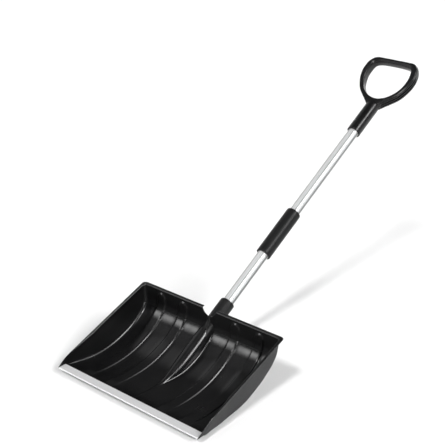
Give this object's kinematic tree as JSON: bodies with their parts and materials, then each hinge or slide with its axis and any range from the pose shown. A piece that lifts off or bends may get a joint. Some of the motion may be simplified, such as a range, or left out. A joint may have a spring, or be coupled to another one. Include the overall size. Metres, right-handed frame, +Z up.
{
  "type": "snow shovel",
  "caption": "Snow shovel with a deep ribbed plastic scoop, an aluminium wear strip, a straight tube handle joined by a sleeve, and a D-grip.",
  "frame": {"origin": "on the floor under the middle of the shovel's length and width, with the belly of the scoop on the floor", "axes": "+X across the scoop, +Y level from the lip towards the grip, +Z up"},
  "size_m": [0.465, 1.1634, 0.6022],
  "materials": {
    "scoop_plastic": "satin moulded plastic, finely grained outside",
    "grip_plastic": "satin moulded plastic",
    "tube_aluminium": "bright drawn and clear anodised",
    "strip_aluminium": "brushed along its length",
    "zinc_steel": "zinc plated",
    "spring_steel": "rolled spring strip"
  },
  "bodies": {
    "shovel": {"scoop": "scoop_plastic", "wear_strip": "strip_aluminium", "strip_rivet_1": "strip_aluminium", "strip_rivet_2": "strip_aluminium", "strip_rivet_3": "strip_aluminium", "strip_rivet_4": "strip_aluminium", "strip_rivet_5": "strip_aluminium", "lower_tube": "tube_aluminium", "upper_tube": "tube_aluminium", "joint_sleeve": "grip_plastic", "grip": "grip_plastic", "sleeve_screw": "zinc_steel", "grip_screw": "zinc_steel", "socket_spring_leg": "spring_steel", "sleeve_spring_leg": "spring_steel"},
    "socket_button_unit": {"socket_spring_arm": "spring_steel", "socket_button": "zinc_steel"},
    "sleeve_button_unit": {"sleeve_spring_arm": "spring_steel", "sleeve_button": "zinc_steel"}
  },
  "joints": [
    {"name": "socket_button_press", "type": "hinge", "parent": "shovel", "child": "socket_button_unit", "pos_m": [0, -0.20373, 0.10444], "axis": [-1, 0, 0], "range_deg": [0, 12], "stiffness_Nm_per_rad": 0.8, "springref_deg": -20.05},
    {"name": "sleeve_button_press", "type": "hinge", "parent": "shovel", "child": "sleeve_button_unit", "pos_m": [0, 0.0063, 0.22263], "axis": [-1, 0, 0], "range_deg": [0, 12], "stiffness_Nm_per_rad": 0.8, "springref_deg": -20.05}
  ]
}
